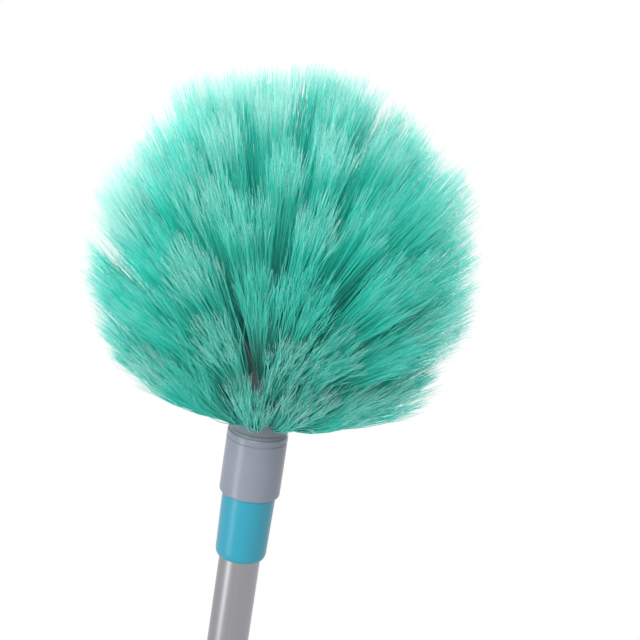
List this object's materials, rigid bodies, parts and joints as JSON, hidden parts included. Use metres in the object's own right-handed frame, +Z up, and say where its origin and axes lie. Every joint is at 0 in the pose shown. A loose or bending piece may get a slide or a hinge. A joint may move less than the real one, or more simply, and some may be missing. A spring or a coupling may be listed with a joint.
{
  "type": "cobweb brush",
  "caption": "Round cobweb brush head of flagged bristles, screwed onto a telescopic pole with a twist lock, a hand grip and a hanging eye.",
  "frame": {"origin": "centre of the hanging hole in the end cap", "axes": "+Z up the pole to the brush head, +Y along the hanging hole"},
  "size_m": [0.2006, 0.2006, 0.9735],
  "materials": {
    "bristle": "fine flagged filaments, paler towards the tips",
    "block_plastic": "plain moulded",
    "grey_plastic": "satin moulded",
    "teal_plastic": "satin moulded",
    "dark_plastic": "plain moulded",
    "grip_rubber": "soft matt",
    "pole_aluminium": "satin",
    "zinc_steel": "zinc plated"
  },
  "bodies": {
    "lower_pole": {"lower_tube": "pole_aluminium", "lock_body": "grey_plastic", "clamp_ring": "dark_plastic", "hand_grip": "grip_rubber", "hang_cap": "grey_plastic"},
    "lock_nut": {"lock_nut": "teal_plastic"},
    "upper_pole": {"upper_tube": "pole_aluminium", "guide_bush": "dark_plastic", "pole_end_sleeve": "teal_plastic"},
    "head": {"head_socket": "grey_plastic", "socket_screw": "zinc_steel", "socket_washer": "zinc_steel", "brush_core": "block_plastic", "tuft_crown": "bristle", "tuft_ring_1": "bristle", "tuft_ring_2": "bristle", "tuft_ring_3": "bristle", "tuft_ring_4": "bristle", "tuft_ring_5": "bristle", "tuft_anchors": "zinc_steel"}
  },
  "joints": [
    {"name": "lock_nut_turn", "type": "hinge", "parent": "lower_pole", "child": "lock_nut", "pos_m": [0, 0, 0.558], "axis": [0, 0, 1], "range_deg": [0, 150]},
    {"name": "pole_extend", "type": "slide", "parent": "lower_pole", "child": "upper_pole", "axis": [0, 0, 1], "range_m": [-0.1115, 0.3465]},
    {"name": "head_unscrew", "type": "hinge", "parent": "upper_pole", "child": "head", "pos_m": [0, 0, 0.752], "axis": [0, 0, 1], "range_deg": [0, 1170]}
  ]
}
